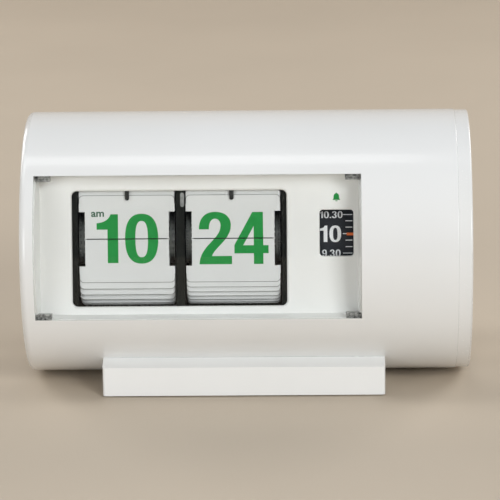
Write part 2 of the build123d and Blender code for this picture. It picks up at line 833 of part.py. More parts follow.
def battery_cell():
    body = rod(cell_x0, cell_x1, cell_y, 0, cell_radius)
    body = fillet(body.edges().filter_by(GeomType.CIRCLE), 0.8)
    return body + rod(cell_x1, cell_x1 + nub_long, cell_y, 0, nub_radius)


def battery_contacts():
    wall = box_x1 - box_wall
    plate = block(cell_x1 + nub_long, wall, cell_y - 6, cell_y + 6, -6, 6)
    coils = []
    start = box_x0 + box_wall
    reach = cell_x0 - start
    for k in range(3):
        ring = Torus(8.0 - 2.0 * k, 0.4)
        coils.append(Pos(start + 0.4 + k * (reach - 0.8) / 2, cell_y, 0) * Rot(0, 90, 0) * ring)
    base = block(start, start + 0.3, cell_y - 9, cell_y + 9, -9, 9)
    return Compound([plate, base + coils[0], coils[1], coils[2]])


def battery_door():
    outer = case_radius
    door = pipe(door_x0 + loose, door_x1 - loose, 0, 0, outer, case_bore)
    door &= case_cut(door_x0, door_x1, door_half - loose, False)
    middle = (door_x0 + door_x1) / 2
    for k in range(5):
        x = middle - 6 + k * 3
        door -= block(x - 0.6, x + 0.6, outer - 0.8, outer + 1, -8, 8)
    for sign in (-1, 1):
        z0, z1 = sorted((sign * (door_half - 1.6), sign * (door_half - 0.4)))
        prong = block(middle - 9, middle + 9, case_bore - 6.6, case_bore, z0, z1)
        door += prong & rod(left_end, right_end, 0, 0, case_bore + 0.2)
    return door


head = Pos(0, 0, axis_height) * Rot(-face_tilt, 0, 0)


def save(name, shape):
    export_step(shape, "parts/" + name + ".step")


def save_head(name, shape):
    save(name, head * shape)


# case and stand
case_body = head * tube_case()
for boss in case_bosses():
    case_body += boss & Pos(0, 0, axis_height) * Rot(0, 90, 0) * Cylinder(case_radius - 1, case_length)
for x in (-stand_screw_x, stand_screw_x):
    case_body -= stand_screw(x)
save("tube_case", case_body)
save_head("end_cap", end_cap())
save("base_stand", stand())
save("rubber_feet", feet())
save("base_screws", Compound([stand_screw(x) for x in (-stand_screw_x, stand_screw_x)]))
save_head("window_lens", window_lens())
save_head("lens_clips", lens_clips())
save_head("face_tray", face_tray())

# movement frame
save_head("left_plate", left_plate())
save_head("mid_plate", mid_plate())
save_head("right_plate", right_plate())
save_head("frame_pillars", pillars())
save_head("frame_screws", frame_screws())
save_head("gear_bridge", gear_bridge())

# hour and minute drums with their leaves
hour_sheet = leaf(hour_x0, hour_x1)
minute_sheet = leaf(minute_x0, minute_x1)
hours_up, hours_down = hour_packs(hour_sheet)
minutes_up, minutes_down = minute_packs(minute_sheet)
save_head("hour_shaft", rod(left_x0 + 0.8, bridge[1] - 0.2, drum_y, drum_z, hour_shaft_radius))
save_head("hour_drum", hour_drum())
save_head("hour_flap", standing(hour_sheet, flap_radius, shown_turn))
save_head("hour_leaves_standing", hours_up)
save_head("hour_leaves_fallen", hours_down)
save_head("hour_leaf_catch", leaf_catch(hour_catch_x))
save_head("minute_drum", minute_drum())
save_head("minute_flap", standing(minute_sheet, flap_radius, shown_turn))
save_head("minute_leaves_standing", minutes_up)
save_head("minute_leaves_fallen", minutes_down)
save_head("minute_leaf_catch", leaf_catch(minute_catch_x))
save_head("leaf_guide", leaf_guide())

# gear train
to_time = math.degrees(math.atan2(-drum_z, -drum_y))
time_phase = mesh_phase(minute_teeth, 0, time_teeth, to_time)
motor_phase = mesh_phase(time_teeth, time_phase, motor_teeth, motor_turn)
motion_phase = mesh_phase(carry_teeth, 0, motion_teeth, carry_turn)
hour_phase = mesh_phase(step_teeth, 0, hour_teeth, carry_turn + 180)
save_head("minute_wheel", gear(layer_a, drum_y, drum_z, minute_teeth, time_module, wheel_addendum, 0,
                               sleeve_radius))
save_head("minute_pinion", minute_pinion(0))
save_head("motion_wheel", gear(layer_b, motion_y, motion_z, motion_teeth, carry_module, wheel_addendum,
                               motion_phase, arbor_radius))
save_head("motion_pinion", gear(layer_c, motion_y, motion_z, step_teeth, step_module, pinion_addendum, 0,
                                arbor_radius))
save_head("motion_arbor", rod(right_x0 + 0.5, bridge[1] - 0.2, motion_y, motion_z, arbor_radius))
save_head("hour_wheel", gear(layer_c, drum_y, drum_z, hour_teeth, step_module, wheel_addendum, hour_phase,
                             hour_shaft_radius))
save_head("time_wheel", gear(layer_a, 0, 0, time_teeth, time_module, wheel_addendum, time_phase,
                             time_shaft_radius))
motor_gear = gear(layer_a, motor_y, motor_z, motor_teeth, time_module, pinion_addendum, motor_phase,
                  motor_shaft_radius)
save_head("motor_pinion", motor_gear + rod(right_x0 - 3.5, layer_a[1], motor_y, motor_z, motor_shaft_radius))

# setting shaft, alarm and switch
save_head("time_shaft", rod(right_x0 + 0.5, time_knob[1] - 0.2, 0, 0, time_shaft_radius))
save_head("time_set_knob", time_set_knob())
save_head("alarm_drum", alarm_drum())
save_head("alarm_sleeve", pipe(bridge[1] + 1.0, alarm_knob[1], 0, 0, alarm_sleeve_radius, alarm_sleeve_bore))
save_head("alarm_set_knob", alarm_set_knob())
save_head("alarm_bracket", alarm_bracket())
save_head("alarm_contact", alarm_contact())
save_head("alarm_pointer", alarm_pointer())
save_head("alarm_switch_button", switch_button())
save_head("alarm_switch_body", switch_body())
save_head("buzzer", buzzer())

# power
save_head("quartz_motor", quartz_motor())
save_head("circuit_board", circuit_board())
save_head("battery_box", battery_box())
save_head("battery_cell", battery_cell())
save_head("battery_contacts", battery_contacts())
save_head("battery_door", battery_door())
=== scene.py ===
import json
import math
import bmesh
import bpy
from mathutils import Matrix, Vector


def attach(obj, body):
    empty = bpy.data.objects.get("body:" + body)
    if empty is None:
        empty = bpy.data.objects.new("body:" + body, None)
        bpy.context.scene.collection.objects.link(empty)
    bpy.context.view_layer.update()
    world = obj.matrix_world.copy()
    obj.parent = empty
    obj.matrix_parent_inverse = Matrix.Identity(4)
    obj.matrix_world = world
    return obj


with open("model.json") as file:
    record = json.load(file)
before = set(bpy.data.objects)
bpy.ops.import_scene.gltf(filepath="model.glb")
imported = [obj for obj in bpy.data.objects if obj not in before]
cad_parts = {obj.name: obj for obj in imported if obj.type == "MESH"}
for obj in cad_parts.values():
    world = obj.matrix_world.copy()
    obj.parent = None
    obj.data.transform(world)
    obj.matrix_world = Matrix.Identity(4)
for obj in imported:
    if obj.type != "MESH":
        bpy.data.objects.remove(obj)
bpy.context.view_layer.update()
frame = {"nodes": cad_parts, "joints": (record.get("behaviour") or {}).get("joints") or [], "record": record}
scene = bpy.context.scene
mm = 0.001
print("frame loaded,", len(frame["nodes"]), "nodes")

# the head leans back on the stand, so prints are laid out in its own upright axes, in mm
joints = {joint["name"]: joint for joint in frame["joints"]}
tubeAxis = Vector(joints["time_set_turn"]["pos_m"])
straightBack = Vector(joints["battery_door_pull"]["axis"])
headTilt = math.atan2(-straightBack.z, straightBack.y)
headToWorld = Matrix.Translation(tubeAxis) @ Matrix.Rotation(-headTilt, 4, "X") @ Matrix.Scale(mm, 4)
worldToHead = headToWorld.inverted()


# how squarely a face has to look to the front or back, and the least leaf face in square metres
squareOn = {"leaf": 0.99, "tray": 0.999, "leafArea": 2e-6}


def headPoint(worldPoint):
    return worldToHead @ Vector(worldPoint)


def headBox(nodeName):
    points = [worldToHead @ vertex.co for vertex in frame["nodes"][nodeName].data.vertices]
    low = Vector([min(point[i] for point in points) for i in range(3)])
    high = Vector([max(point[i] for point in points) for i in range(3)])
    return low, high


def leafFace(nodeName, side):
    # front-most (side -1) or back-most (side 1) flat face of a leaf, as a point and a normal
    best = None
    for face in frame["nodes"][nodeName].data.polygons:
        normal = (worldToHead.to_3x3() @ face.normal).normalized()
        centre = worldToHead @ face.center
        if normal.y * side < squareOn["leaf"] or face.area < squareOn["leafArea"]:
            continue
        if best is None or centre.y * side > best[0].y * side:
            best = (centre, normal)
    return best


def widestPlane(nodeName):
    # depth of the largest area of a node that looks straight to the front
    areas = {}
    for face in frame["nodes"][nodeName].data.polygons:
        if (worldToHead.to_3x3() @ face.normal).normalized().y < -squareOn["tray"]:
            depth = round((worldToHead @ face.center).y, 2)
            areas[depth] = areas.get(depth, 0) + face.area
    return max(areas, key=areas.get)


# figures, drawn as outlines 100 units tall: (x, y) is a straight run to a point,
# and three points are the two handles and the end of a curve
figureTall = 100
smooth = {"outline": 10, "letters": 6}  # points between two knots of a curve
sameSpot = 1e-5  # closer points are one


def oval(cx, cy, rx, ry, fullAcross=0.62, fullUp=0.62):
    hx, hy = rx * fullAcross, ry * fullUp
    return [(cx, cy - ry),
            ((cx + hx, cy - ry), (cx + rx, cy - hy), (cx + rx, cy)),
            ((cx + rx, cy + hy), (cx + hx, cy + ry), (cx, cy + ry)),
            ((cx - hx, cy + ry), (cx - rx, cy + hy), (cx - rx, cy)),
            ((cx - rx, cy - hy), (cx - hx, cy - ry), (cx, cy - ry))]


def moved(outline, move):
    # the same outline with each point, handles too, put through move
    return [move(*step) if len(step) == 2 else tuple(move(*point) for point in step) for step in outline]


def turnedRound(outline, width, height):
    return moved(outline, lambda x, y: (width - x, height - y))


def widened(outline, widen):
    return moved(outline, lambda x, y: (x * widen, y))


six = [[(61, 74), ((59.5, 91), (49.5, 101), (33, 101)), ((11, 101), (0, 82), (0, 48)),
        ((0, 15), (11, -1.5), (32, -1.5)), ((52, -1.5), (64.5, 11), (64.5, 32)),
        ((64.5, 52.5), (54, 64.5), (37, 64.5)), ((29.5, 64.5), (23.5, 61.5), (19.8, 56)),
        ((19.8, 77), (24, 87), (33, 87)), ((38.5, 87), (41.5, 83), (42, 74))],
       oval(32.5, 31.5, 11.5, 19.5)]

figures = {
    "0": (68.4, [oval(34.2, 49.6, 34.2, 51.2, 0.62, 0.72), oval(34.2, 48.8, 12.9, 37.2, 0.66, 0.78)]),
    "1": (44.1, [[(22.2, 0), (44.1, 0), (44.1, 100), (28.8, 100),
                  ((25.5, 90), (16.5, 83), (0, 81.9)), (0, 68.7), (22.2, 68.7)]]),
    "2": (63.5, [[(0.6, 0), (63.5, 0), (63.5, 15.8), (24.8, 15.8),
                  ((31, 33), (61.9, 48), (61.9, 75)), ((61.9, 91), (50, 100.8), (31.5, 100.8)),
                  ((11.5, 100.8), (0, 88), (0, 67.3)), (19.4, 67.3),
                  ((19.4, 80.5), (24, 87.6), (31.2, 87.6)), ((38, 87.6), (41.9, 82), (41.9, 74)),
                  ((41.9, 48), (1.5, 36), (0.6, 0))]]),
    "3": (64.0, [[(0, 28), ((0.5, 9), (12, -1.5), (31.5, -1.5)), ((52, -1.5), (64, 10), (64, 28)),
                  ((64, 41), (57.5, 49.5), (48, 52.5)), ((56.5, 56), (61.5, 63.5), (61.5, 74)),
                  ((61.5, 91), (50, 101), (31.5, 101)), ((13, 101), (2, 90), (1.5, 72)), (20.5, 72),
                  ((20.5, 81.5), (24.5, 87), (31.5, 87)), ((38, 87), (41.5, 82), (41.5, 73.5)),
                  ((41.5, 63), (36.5, 59), (26, 59)), (26, 45.5), ((38, 45.5), (43.5, 40), (43.5, 29)),
                  ((43.5, 18.5), (39, 12.5), (31.5, 12.5)), ((24, 12.5), (19.8, 18), (19.5, 28))]]),
    "4": (65.8, [[(37.4, 0), (55.7, 0), (55.7, 20.6), (65.8, 20.6), (65.8, 36.1), (55.7, 36.1),
                  (55.4, 100), (34.8, 100), (0, 36.8), (0, 20.6), (37.4, 20.6)],
                 [(37.4, 36.1), (37.4, 73.2), (17, 36.1)]]),
    "5": (64.5, [[(8, 100), (58, 100), (58, 84.5), (24.5, 84.5), (22, 63), ((26, 67.5), (31, 69), (37, 69)),
                  ((54, 69), (64.5, 56), (64.5, 34)), ((64.5, 12), (52, -1.5), (31.5, -1.5)),
                  ((12, -1.5), (0.5, 9.5), (0, 27)), (19.5, 27), ((20, 18), (24.5, 12.5), (31, 12.5)),
                  ((39, 12.5), (43.5, 20), (43.5, 34)), ((43.5, 47.5), (39, 55), (31.5, 55)),
                  ((26, 55), (22, 52.5), (19.5, 48.5)), (1.5, 48.5)]]),
    "6": (64.5, six),
    "7": (62.0, [[(0, 100), (62, 100), (62, 85.5), ((42, 62), (31, 31), (30, 0)), (9.5, 0),
                  ((11.5, 33), (22, 61), (41, 83)), (0, 83)]]),
    "8": (65.0, [[(32, -1.5), ((52, -1.5), (64.5, 9), (64.5, 27.5)),
                  ((64.5, 40), (58.5, 48.5), (48.5, 52.5)), ((57, 56.5), (61.5, 64), (61.5, 74)),
                  ((61.5, 91), (50, 101), (32, 101)),
                  ((14, 101), (2.5, 91), (2.5, 74)), ((2.5, 64), (7, 56.5), (15.5, 52.5)),
                  ((5.5, 48.5), (-0.5, 40), (-0.5, 27.5)), ((-0.5, 9), (12, -1.5), (32, -1.5))],
                 oval(32, 27.5, 12, 15.5), oval(32, 73, 10.5, 14)]),
    "9": (64.5, [turnedRound(outline, 64.5, 99.5) for outline in six]),
    ".": (17.0, [[(0, 0), (17, 0), (17, 17), (0, 17)]]),
}


def addOutline(curve, steps, scale, dx, dy):
    # one closed bezier loop; the handles of straight runs sit a third of the way along
    ends = [Vector(step if len(step) == 2 else step[2]) for step in steps]
    if (ends[0] - ends[-1]).length < sameSpot:
        ends, closing = ends[:-1], steps[-1]
        steps = steps[:-1]
    else:
        closing = steps[0]
    count = len(ends)
    spline = curve.splines.new("BEZIER")
    spline.bezier_points.add(count - 1)
    spline.use_cyclic_u = True
    for i in range(count):
        into = steps[i] if i > 0 else closing
        onward = steps[i + 1] if i + 1 < count else closing
        before, after = ends[i - 1], ends[(i + 1) % count]
        left = Vector(into[1]) if len(into) == 3 else ends[i].lerp(before, 1 / 3)
        right = Vector(onward[0]) if len(onward) == 3 else ends[i].lerp(after, 1 / 3)
        knot = spline.bezier_points[i]
        knot.handle_left_type = knot.handle_right_type = "FREE"
        for name, spot in (("co", ends[i]), ("handle_left", left), ("handle_right", right)):
            setattr(knot, name, (spot.x * scale + dx, spot.y * scale + dy, 0))


def flatPrint(name, loops):
    # loops are (outline, scale, dx, dy); the filled sheet comes back as a mesh, in mm
    curve = bpy.data.curves.new(name, "CURVE")
    curve.dimensions = "2D"
    curve.fill_mode = "BOTH"
    curve.resolution_u = smooth["outline"]
    for outline, scale, dx, dy in loops:
        addOutline(curve, outline, scale, dx, dy)
    holder = bpy.data.objects.new(name, curve)
    scene.collection.objects.link(holder)
    bpy.context.view_layer.update()
    mesh = bpy.data.meshes.new_from_object(holder.evaluated_get(bpy.context.evaluated_depsgraph_get()))
    bpy.data.objects.remove(holder)
    bpy.data.curves.remove(curve)
    sheet = bmesh.new()
    sheet.from_mesh(mesh)
    bpy.data.meshes.remove(mesh)
    bmesh.ops.remove_doubles(sheet, verts=sheet.verts, dist=sameSpot)
    up = [face for face in sheet.faces if face.normal.z > 0]
    down = [face for face in sheet.faces if face.normal.z < 0]
    if up and down:
        bmesh.ops.delete(sheet, geom=down, context="FACES")
    elif down:
        bmesh.ops.reverse_faces(sheet, faces=down)
    return sheet


def number(text, height, left, base, gap, widen=1.0):
    loops = []
    scale = height / figureTall
    for letter in text:
        width, outlines = figures[letter]
        loops += [(widened(outline, widen), scale, left, base) for outline in outlines]
        left += (width * scale + gap) * widen
    return loops


def cutSheet(sheet, height, keepAbove):
    # keeps one side of a level line, so that a figure splits between two leaves
    everything = list(sheet.verts) + list(sheet.edges) + list(sheet.faces)
    bmesh.ops.bisect_plane(sheet, geom=everything, plane_co=(0, height, 0), plane_no=(0, 1, 0),
                           clear_inner=keepAbove, clear_outer=not keepAbove)


def levelCuts(sheet, step):
    # level cuts, so that a print can follow a round surface
    heights = [vertex.co.y for vertex in sheet.verts]
    level = min(heights) + step
    while level < max(heights):
        everything = list(sheet.verts) + list(sheet.edges) + list(sheet.faces)
        bmesh.ops.bisect_plane(sheet, geom=everything, plane_co=(0, level, 0), plane_no=(0, 1, 0))
        level += step


def finishPiece(name, sheet, material, body):
    mesh = bpy.data.meshes.new(name)
    sheet.to_mesh(mesh)
    sheet.free()
    mesh.transform(headToWorld)
    mesh.materials.append(material)
    piece = bpy.data.objects.new(name, mesh)
    scene.collection.objects.link(piece)
    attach(piece, body)


def layOnFace(sheet, face, height, lift, mirrored=None):
    # x runs along the case and v up from the given height; mirrored is the hinge height, for a leaf's back
    point, normal = face
    for vertex in sheet.verts:
        x, v = vertex.co.x, vertex.co.y
        z = height + v if mirrored is None else 2 * mirrored - height - v
        away = lift - (x - point.x) * normal.x - (z - point.z) * normal.z
        vertex.co = (x, point.y + away / normal.y, z)


def wrapOnTube(sheet, radius, middle):
    # v runs round a cylinder about the tube axis, up from the angle middle on the front
    for vertex in sheet.verts:
        angle = middle + vertex.co.y / radius
        vertex.co = (vertex.co.x, -radius * math.cos(angle), radius * math.sin(angle))


# materials: each is a Principled surface whose colour, gloss and bump come from noise at real scale
def newMaterial(name):
    material = bpy.data.materials.new(name)
    material.use_nodes = True
    nodes, links = material.node_tree.nodes, material.node_tree.links
    shader = nodes["Principled BSDF"]
    place = nodes.new("ShaderNodeTexCoord")
    return material, nodes, links, shader, place.outputs["Object"]


def noise(nodes, links, place, scale, detail=3.0, stretch=None):
    texture = nodes.new("ShaderNodeTexNoise")
    texture.inputs["Scale"].default_value = scale
    texture.inputs["Detail"].default_value = detail
    if stretch:
        mapping = nodes.new("ShaderNodeMapping")
        mapping.inputs["Scale"].default_value = stretch
        links.new(place, mapping.inputs["Vector"])
        place = mapping.outputs["Vector"]
    links.new(place, texture.inputs["Vector"])
    return texture.outputs["Fac"]


def spread(nodes, links, value, low, high, fromLow=0.3, fromHigh=0.7):
    ranger = nodes.new("ShaderNodeMapRange")
    ranger.inputs["From Min"].default_value = fromLow
    ranger.inputs["From Max"].default_value = fromHigh
    ranger.inputs["To Min"].default_value = low
    ranger.inputs["To Max"].default_value = high
    links.new(value, ranger.inputs["Value"])
    return ranger.outputs["Result"]


def blendColours(nodes, links, value, first, second):
    mixer = nodes.new("ShaderNodeMix")
    mixer.data_type = "RGBA"
    mixer.inputs[6].default_value = (*first, 1)
    mixer.inputs[7].default_value = (*second, 1)
    links.new(value, mixer.inputs[0])
    return mixer.outputs[2]


def bump(nodes, links, value, depth, shader, strength=1.0):
    bumper = nodes.new("ShaderNodeBump")
    bumper.inputs["Strength"].default_value = strength
    bumper.inputs["Distance"].default_value = depth
    links.new(value, bumper.inputs["Height"])
    links.new(bumper.outputs["Normal"], shader.inputs["Normal"])


coatRough = 0.06
inkFilm = {"speckle": (0.35, 0.75), "depth": 4e-6, "strength": 0.5, "shine": 0.3}


def mouldedPlastic(name, look):
    # look: colour and shade are the two tones, cloud and grain the scale of tone and of bump per metre,
    # rough a range, depth the bump's height in metres
    material, nodes, links, shader, place = newMaterial(name)
    cloud = noise(nodes, links, place, look["cloud"], 2.0)
    grain = noise(nodes, links, place, look["grain"], 4.0)
    tone = spread(nodes, links, cloud, 0, 1)
    links.new(blendColours(nodes, links, tone, look["colour"], look["shade"]), shader.inputs["Base Color"])
    links.new(spread(nodes, links, grain, *look["rough"]), shader.inputs["Roughness"])
    bump(nodes, links, grain, look["depth"], shader)
    shader.inputs["Specular IOR Level"].default_value = look.get("shine", 0.5)
    shader.inputs["Coat Weight"].default_value = look.get("coat", 0.0)
    shader.inputs["Coat Roughness"].default_value = coatRough
    return material


def bareMetal(name, look):
    material, nodes, links, shader, place = newMaterial(name)
    streak = noise(nodes, links, place, look["grain"], stretch=look["stretch"])
    cloud = noise(nodes, links, place, look["cloud"])
    tone = spread(nodes, links, cloud, 0, 1)
    links.new(blendColours(nodes, links, tone, look["colour"], look["shade"]), shader.inputs["Base Color"])
    links.new(spread(nodes, links, streak, *look["rough"]), shader.inputs["Roughness"])
    bump(nodes, links, streak, look["depth"], shader, 0.6)
    shader.inputs["Metallic"].default_value = 1.0
    return material


def printedInk(name, look):
    # screen print: a thin flat colour that lets a little of the leaf's grain through
    material, nodes, links, shader, place = newMaterial(name)
    speckle = noise(nodes, links, place, look["grain"], 5.0)
    tone = spread(nodes, links, speckle, 0, 1, *inkFilm["speckle"])
    links.new(blendColours(nodes, links, tone, look["colour"], look["shade"]), shader.inputs["Base Color"])
    links.new(spread(nodes, links, speckle, *look["rough"]), shader.inputs["Roughness"])
    bump(nodes, links, speckle, inkFilm["depth"], shader, inkFilm["strength"])
    shader.inputs["Specular IOR Level"].default_value = inkFilm["shine"]
    return material


def clearAcrylic(name, look):
    # the window lets lamps straight through to the leaves, and still bends and mirrors what is seen
    material, nodes, links, shader, place = newMaterial(name)
    haze = noise(nodes, links, place, look["haze"])
    shader.inputs["Base Color"].default_value = (*look["colour"], 1)
    links.new(spread(nodes, links, haze, *look["rough"]), shader.inputs["Roughness"])
    shader.inputs["Transmission Weight"].default_value = 1.0
    shader.inputs["IOR"].default_value = look["ior"]
    clear = nodes.new("ShaderNodeBsdfTransparent")
    clear.inputs["Color"].default_value = (*look["pass"], 1)
    path = nodes.new("ShaderNodeLightPath")
    surface = shader.outputs["BSDF"]
    for ray in ("Is Diffuse Ray", "Is Shadow Ray"):
        mixer = nodes.new("ShaderNodeMixShader")
        links.new(path.outputs[ray], mixer.inputs["Fac"])
        links.new(surface, mixer.inputs[1])
        links.new(clear.outputs["BSDF"], mixer.inputs[2])
        surface = mixer.outputs["Shader"]
    links.new(surface, nodes["Material Output"].inputs["Surface"])
    return material


def solderMask(name, look):
    # green board with fine copper runs under the lacquer
    material, nodes, links, shader, place = newMaterial(name)
    runs = nodes.new("ShaderNodeTexBrick")
    runs.inputs["Scale"].default_value = look["runs"]
    runs.inputs["Mortar Size"].default_value = look["runWidth"]
    runs.inputs["Color1"].default_value = (*look["colour"], 1)
    runs.inputs["Color2"].default_value = (*look["shade"], 1)
    runs.inputs["Mortar"].default_value = (*look["copper"], 1)
    mapping = nodes.new("ShaderNodeMapping")
    mapping.inputs["Rotation"].default_value = (math.radians(90), 0, 0)
    links.new(place, mapping.inputs["Vector"])
    links.new(mapping.outputs["Vector"], runs.inputs["Vector"])
    links.new(runs.outputs["Color"], shader.inputs["Base Color"])
    grain = noise(nodes, links, place, look["grain"])
    links.new(spread(nodes, links, grain, *look["rough"]), shader.inputs["Roughness"])
    bump(nodes, links, runs.outputs["Fac"], look["depth"], shader)
    return material


def cellLabel(name, look):
    # plain two-tone sleeve, banded along the case
    material, nodes, links, shader, place = newMaterial(name)
    split = nodes.new("ShaderNodeSeparateXYZ")
    links.new(place, split.inputs["Vector"])
    band = spread(nodes, links, split.outputs["X"], 0, 1, *look["band"])
    links.new(blendColours(nodes, links, band, look["colour"], look["shade"]), shader.inputs["Base Color"])
    grain = noise(nodes, links, place, look["grain"])
    links.new(spread(nodes, links, grain, *look["rough"]), shader.inputs["Roughness"])
    bump(nodes, links, grain, look["depth"], shader)
    return material


glossWhite = {"colour": (0.80, 0.80, 0.79), "shade": (0.775, 0.775, 0.76), "cloud": 14.0,
              "grain": 900.0, "rough": (0.16, 0.24), "depth": 3e-6, "coat": 0.25}
satinWhite = {"colour": (0.86, 0.86, 0.845), "shade": (0.835, 0.835, 0.815), "cloud": 20.0,
              "grain": 2600.0, "rough": (0.34, 0.48), "depth": 1.2e-5}
finishes = {
    "case_white": mouldedPlastic("glossWhiteCase", glossWhite),
    "cap_white": mouldedPlastic("glossWhiteCap", {**glossWhite, "cloud": 22.0, "rough": (0.18, 0.28)}),
    "stand_white": mouldedPlastic("satinWhiteStand", {**satinWhite, "rough": (0.28, 0.4)}),
    "lens_clear": clearAcrylic("clearWindow", {
        "colour": (1, 1, 1), "pass": (0.95, 0.955, 0.95), "rough": (0.0, 0.015), "ior": 1.22, "haze": 90.0}),
    "face_white": mouldedPlastic("satinWhiteFace", {
        **satinWhite, "colour": (0.84, 0.84, 0.82), "shade": (0.81, 0.81, 0.785)}),
    "frame_black": mouldedPlastic("blackFramePlate", {
        "colour": (0.007, 0.008, 0.007), "shade": (0.012, 0.013, 0.011), "cloud": 60.0, "grain": 3200.0,
        "rough": (0.55, 0.7), "depth": 1.5e-5, "shine": 0.06}),
    "drum_black": mouldedPlastic("blackDrumPlastic", {
        "colour": (0.045, 0.049, 0.046), "shade": (0.07, 0.075, 0.07), "cloud": 90.0, "grain": 2400.0,
        "rough": (0.26, 0.42), "depth": 1.2e-5, "shine": 0.35}),
    "alarm_black": mouldedPlastic("mattBlackDrum", {
        "colour": (0.027, 0.030, 0.036), "shade": (0.038, 0.041, 0.048), "cloud": 110.0, "grain": 4200.0,
        "rough": (0.5, 0.65), "depth": 1e-5, "shine": 0.1}),
    "leaf_grey": mouldedPlastic("paleLeafVinyl", {
        "colour": (0.70, 0.71, 0.70), "shade": (0.67, 0.68, 0.67), "cloud": 45.0, "grain": 5200.0,
        "rough": (0.38, 0.5), "depth": 6e-6}),
    "catch_grey": mouldedPlastic("greyCatchStrip", {
        "colour": (0.014, 0.014, 0.013), "shade": (0.024, 0.024, 0.022), "cloud": 200.0, "grain": 3000.0,
        "rough": (0.3, 0.45), "depth": 8e-6, "shine": 0.25}),
    # near-black clip; its scattered light patches are painted glints that stand in for the small highlights
    # on the clip
    "clip_dark": mouldedPlastic("darkLensClipPaintedGlints", {
        "colour": (0.012, 0.012, 0.011), "shade": (0.40, 0.40, 0.38), "cloud": 1000.0, "grain": 2600.0,
        "rough": (0.22, 0.4), "depth": 3e-5}),
    "guide_smoke": mouldedPlastic("smokedGuide", {
        "colour": (0.30, 0.31, 0.30), "shade": (0.16, 0.165, 0.16), "cloud": 500.0, "grain": 2800.0,
        "rough": (0.2, 0.34), "depth": 1e-5}),
    "gear_ivory": mouldedPlastic("ivoryGear", {
        "colour": (0.74, 0.70, 0.60), "shade": (0.70, 0.65, 0.55), "cloud": 120.0, "grain": 2800.0,
        "rough": (0.3, 0.44), "depth": 1e-5}),
    "steel": bareMetal("turnedSteel", {
        "colour": (0.62, 0.62, 0.63), "shade": (0.52, 0.52, 0.53), "cloud": 260.0, "grain": 900.0,
        "stretch": (8.0, 1.0, 1.0), "rough": (0.2, 0.36), "depth": 6e-6}),
    "brass": bareMetal("turnedBrass", {
        "colour": (0.80, 0.62, 0.28), "shade": (0.70, 0.52, 0.22), "cloud": 260.0, "grain": 900.0,
        "stretch": (8.0, 1.0, 1.0), "rough": (0.2, 0.34), "depth": 6e-6}),
    "pointer_orange": mouldedPlastic("orangePointer", {
        "colour": (0.80, 0.16, 0.02), "shade": (0.72, 0.13, 0.02), "cloud": 400.0, "grain": 3000.0,
        "rough": (0.36, 0.5), "depth": 8e-6}),
    "knob_white": mouldedPlastic("satinWhiteKnob", {**satinWhite, "cloud": 40.0, "grain": 2200.0}),
    "switch_black": mouldedPlastic("blackSwitch", {
        "colour": (0.018, 0.018, 0.018), "shade": (0.03, 0.03, 0.03), "cloud": 150.0, "grain": 3600.0,
        "rough": (0.4, 0.55), "depth": 1.5e-5}),
    "board_green": solderMask("greenBoard", {
        "colour": (0.02, 0.16, 0.06), "shade": (0.025, 0.19, 0.07), "copper": (0.05, 0.27, 0.10),
        "runs": 260.0, "runWidth": 0.035, "grain": 1800.0, "rough": (0.25, 0.42), "depth": 3e-5}),
    "box_white": mouldedPlastic("whiteBox", {**satinWhite, "grain": 1900.0, "rough": (0.42, 0.55)}),
    "cell_wrap": cellLabel("cellSleeve", {
        "colour": (0.17, 0.19, 0.23), "shade": (0.46, 0.47, 0.49), "band": (-0.0400, -0.0396),
        "grain": 900.0, "rough": (0.2, 0.36), "depth": 8e-6}),
    "contact_plate": bareMetal("platedSpring", {
        "colour": (0.78, 0.77, 0.74), "shade": (0.68, 0.67, 0.64), "cloud": 260.0, "grain": 700.0,
        "stretch": (1.0, 6.0, 1.0), "rough": (0.14, 0.26), "depth": 4e-6}),
    "foot_rubber": mouldedPlastic("softFootRubber", {
        "colour": (0.05, 0.05, 0.05), "shade": (0.075, 0.072, 0.07), "cloud": 180.0, "grain": 2600.0,
        "rough": (0.7, 0.88), "depth": 3e-5}),
}
greenInk = printedInk("greenFigureInk", {"colour": (0.003, 0.255, 0.04), "shade": (0.005, 0.225, 0.036),
                                         "grain": 3800.0, "rough": (0.34, 0.46)})
darkGreenInk = printedInk("darkGreenInk", {"colour": (0.02, 0.09, 0.045), "shade": (0.03, 0.11, 0.055),
                                           "grain": 3800.0, "rough": (0.36, 0.5)})
whiteInk = printedInk("whiteScaleInk", {"colour": (0.96, 0.97, 0.98), "shade": (0.91, 0.925, 0.935),
                                        "grain": 4200.0, "rough": (0.4, 0.55)})
# painted shadow: near-black lines that stand in for the shade in the narrow gaps at each leaf's free edge
paintedEdgeShadow = printedInk("paintedLeafEdgeShadow", {"colour": (0.10, 0.10, 0.095), "shade": (0.17, 0.17, 0.16),
                                        "grain": 3000.0, "rough": (0.5, 0.65)})

for subpart in frame["record"]["subparts"]:
    node = frame["nodes"][subpart["node"]]
    if not node.material_slots:
        node.data.materials.append(None)
    for holder in node.material_slots:
        holder.material = finishes[subpart["material_slot"]]

# hour and minute figures: the flap carries the upper half of the time shown and, on its back,
# the lower half of the next, so a falling flap lands as the next figure
leafPrints = {
    "hour": {"now": "10", "next": "11", "height": 18.5, "below": 9.1, "gap": 2.6, "middle": -45.3},
    "minute": {"now": "24", "next": "25", "height": 19.7, "below": 9.8, "gap": 0.95, "middle": -4.95},
    "lift": 0.02,
    "gapAtSplit": 0.2,
}
splitHeight = headPoint(joints["minute_drum_turn"]["pos_m"]).z


def numberWidth(text, height, gap):
    return sum(figures[letter][0] for letter in text) * height / figureTall + gap * (len(text) - 1)


def halfNumber(drum, text, upper):
    look = leafPrints[drum]
    left = look["middle"] - numberWidth(text, look["height"], look["gap"]) / 2
    sheet = flatPrint(drum + text, number(text, look["height"], left, -look["below"], look["gap"]))
    cutSheet(sheet, leafPrints["gapAtSplit"] if upper else -leafPrints["gapAtSplit"], upper)
    return sheet


